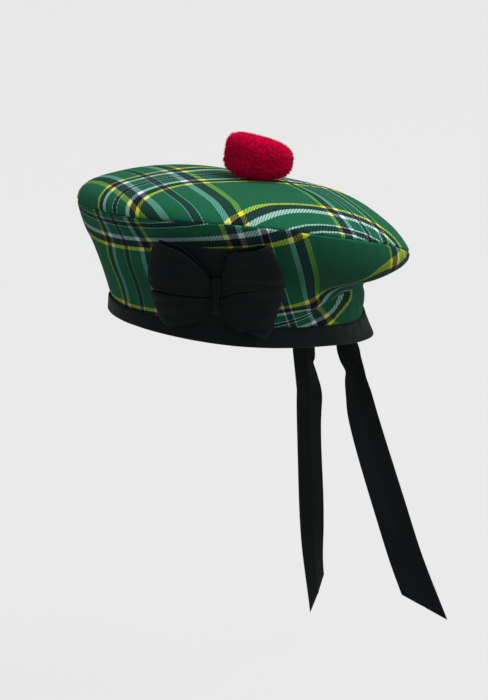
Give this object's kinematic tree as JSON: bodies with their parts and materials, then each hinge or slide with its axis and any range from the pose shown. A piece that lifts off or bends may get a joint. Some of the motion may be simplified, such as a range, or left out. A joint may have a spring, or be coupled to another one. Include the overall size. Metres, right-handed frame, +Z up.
{
  "type": "balmoral bonnet",
  "caption": "Soft tartan balmoral bonnet with a ribbon binding, a woollen toorie, a ribbon bow at the side and two hanging tails.",
  "frame": {"origin": "middle of the head opening at the binding's lower edge, where the bonnet sits on a head", "axes": "+Z up along the wearer's upright head, the wearer looks along -Y, +X is the wearer's left; the bonnet itself is tilted back by 7.4 degrees"},
  "size_m": [0.2402, 0.2695, 0.4072],
  "materials": {
    "tartan": "2/2 twill worsted in a green tartan with yellow, black and white lines",
    "black_ribbon": "black grosgrain ribbon",
    "red_wool": "brushed crimson wool"
  },
  "bodies": {
    "root": {"crown_top": "tartan", "crown_side": "tartan", "headband": "black_ribbon", "toorie": "red_wool", "bow_base": "black_ribbon", "bow_loop_upper_left": "black_ribbon", "bow_loop_lower_left": "black_ribbon", "bow_loop_upper_right": "black_ribbon", "bow_loop_lower_right": "black_ribbon", "bow_knot": "black_ribbon", "tail_left": "black_ribbon", "tail_right": "black_ribbon"}
  },
  "joints": []
}
